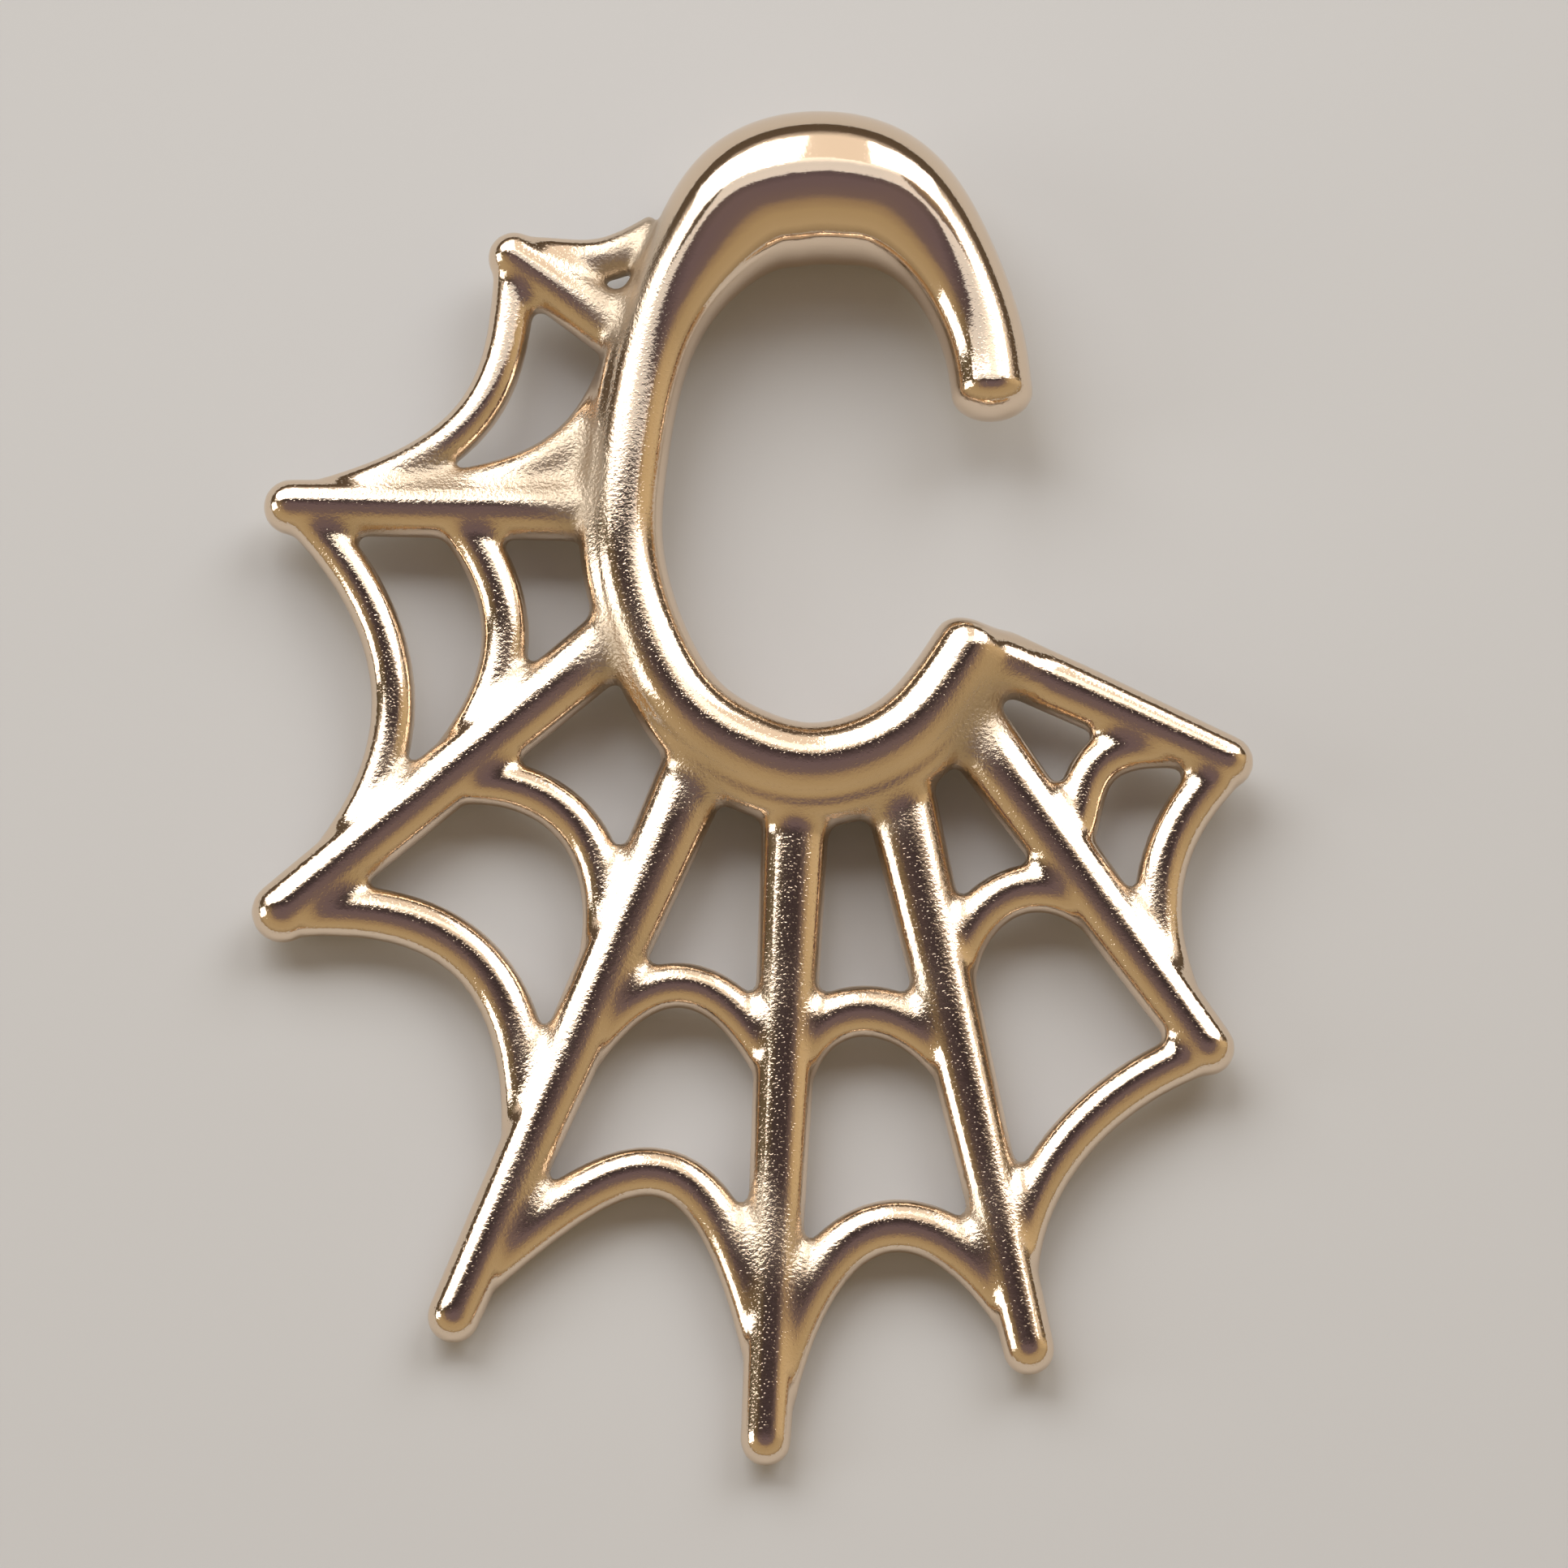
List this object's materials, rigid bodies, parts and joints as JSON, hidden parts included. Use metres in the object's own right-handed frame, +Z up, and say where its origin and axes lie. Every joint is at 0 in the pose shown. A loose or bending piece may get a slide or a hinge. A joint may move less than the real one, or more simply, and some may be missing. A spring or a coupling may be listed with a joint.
{
  "type": "ear hanger",
  "caption": "C-shaped ear hanger cast in one piece: a round hook bar, thickest where the lobe carries it, and a spider web drop of straight spokes and sagging strands.",
  "frame": {"origin": "centre of the bounding box on the surface that the hanger lies on", "axes": "+Z up from the surface to the front face, +Y toward the top of the hook, +X toward the hook's open side"},
  "size_m": [0.039, 0.0548, 0.0061],
  "materials": {
    "rose_gold": "polished high spots over a fine cast grain"
  },
  "bodies": {
    "root": {"ear_hanger": "rose_gold"}
  },
  "joints": []
}
